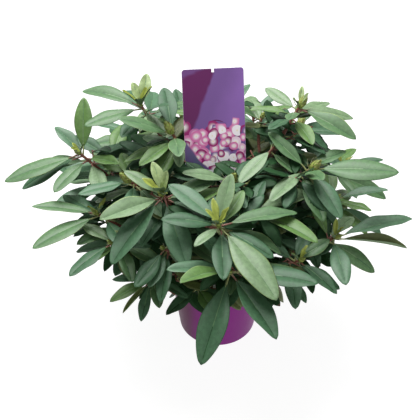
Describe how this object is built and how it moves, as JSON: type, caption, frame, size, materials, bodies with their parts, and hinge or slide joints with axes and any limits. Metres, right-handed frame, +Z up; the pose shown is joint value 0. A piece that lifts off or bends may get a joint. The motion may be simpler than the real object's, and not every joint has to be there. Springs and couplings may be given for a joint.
{
  "type": "potted rhododendron",
  "caption": "Rhododendron shrub in a round nursery pot, with evergreen leaves in whorls at the ends of arching shoots, plump buds and a tall plant label.",
  "frame": {"origin": "centre of the pot's flat underside, on the surface that the pot stands on", "axes": "+Z up along the pot's axis, -Y towards the plant's front, which the label's printed face looks to, +X to the right seen from the front"},
  "size_m": [0.6435, 0.6227, 0.4585],
  "materials": {
    "pot_plastic": "satin",
    "compost": "matte",
    "bark": "matte",
    "label_card": "satin",
    "foliage": "satin"
  },
  "bodies": {
    "root": {"pot": "pot_plastic", "root_ball": "compost", "stem": "bark", "plant_label": "label_card", "bough_left_crest": "bark", "bough_left_high": "bark", "bough_left_middle": "bark", "bough_left_low": "bark", "bough_front_left_low": "bark", "bough_front": "bark", "bough_front_low": "bark", "bough_centre": "bark", "bough_right_high": "bark", "bough_right_low": "bark", "bough_back_right": "bark", "bough_back": "bark", "bough_back_left": "bark", "foliage_left_crest": "foliage", "foliage_left_high": "foliage", "foliage_left_middle": "foliage", "foliage_left_low": "foliage", "foliage_front_left_low": "foliage", "foliage_front": "foliage", "foliage_front_low": "foliage", "foliage_centre": "foliage", "foliage_right_high": "foliage", "foliage_right_low": "foliage", "foliage_back_right": "foliage", "foliage_back": "foliage", "foliage_back_left": "foliage"}
  },
  "joints": []
}
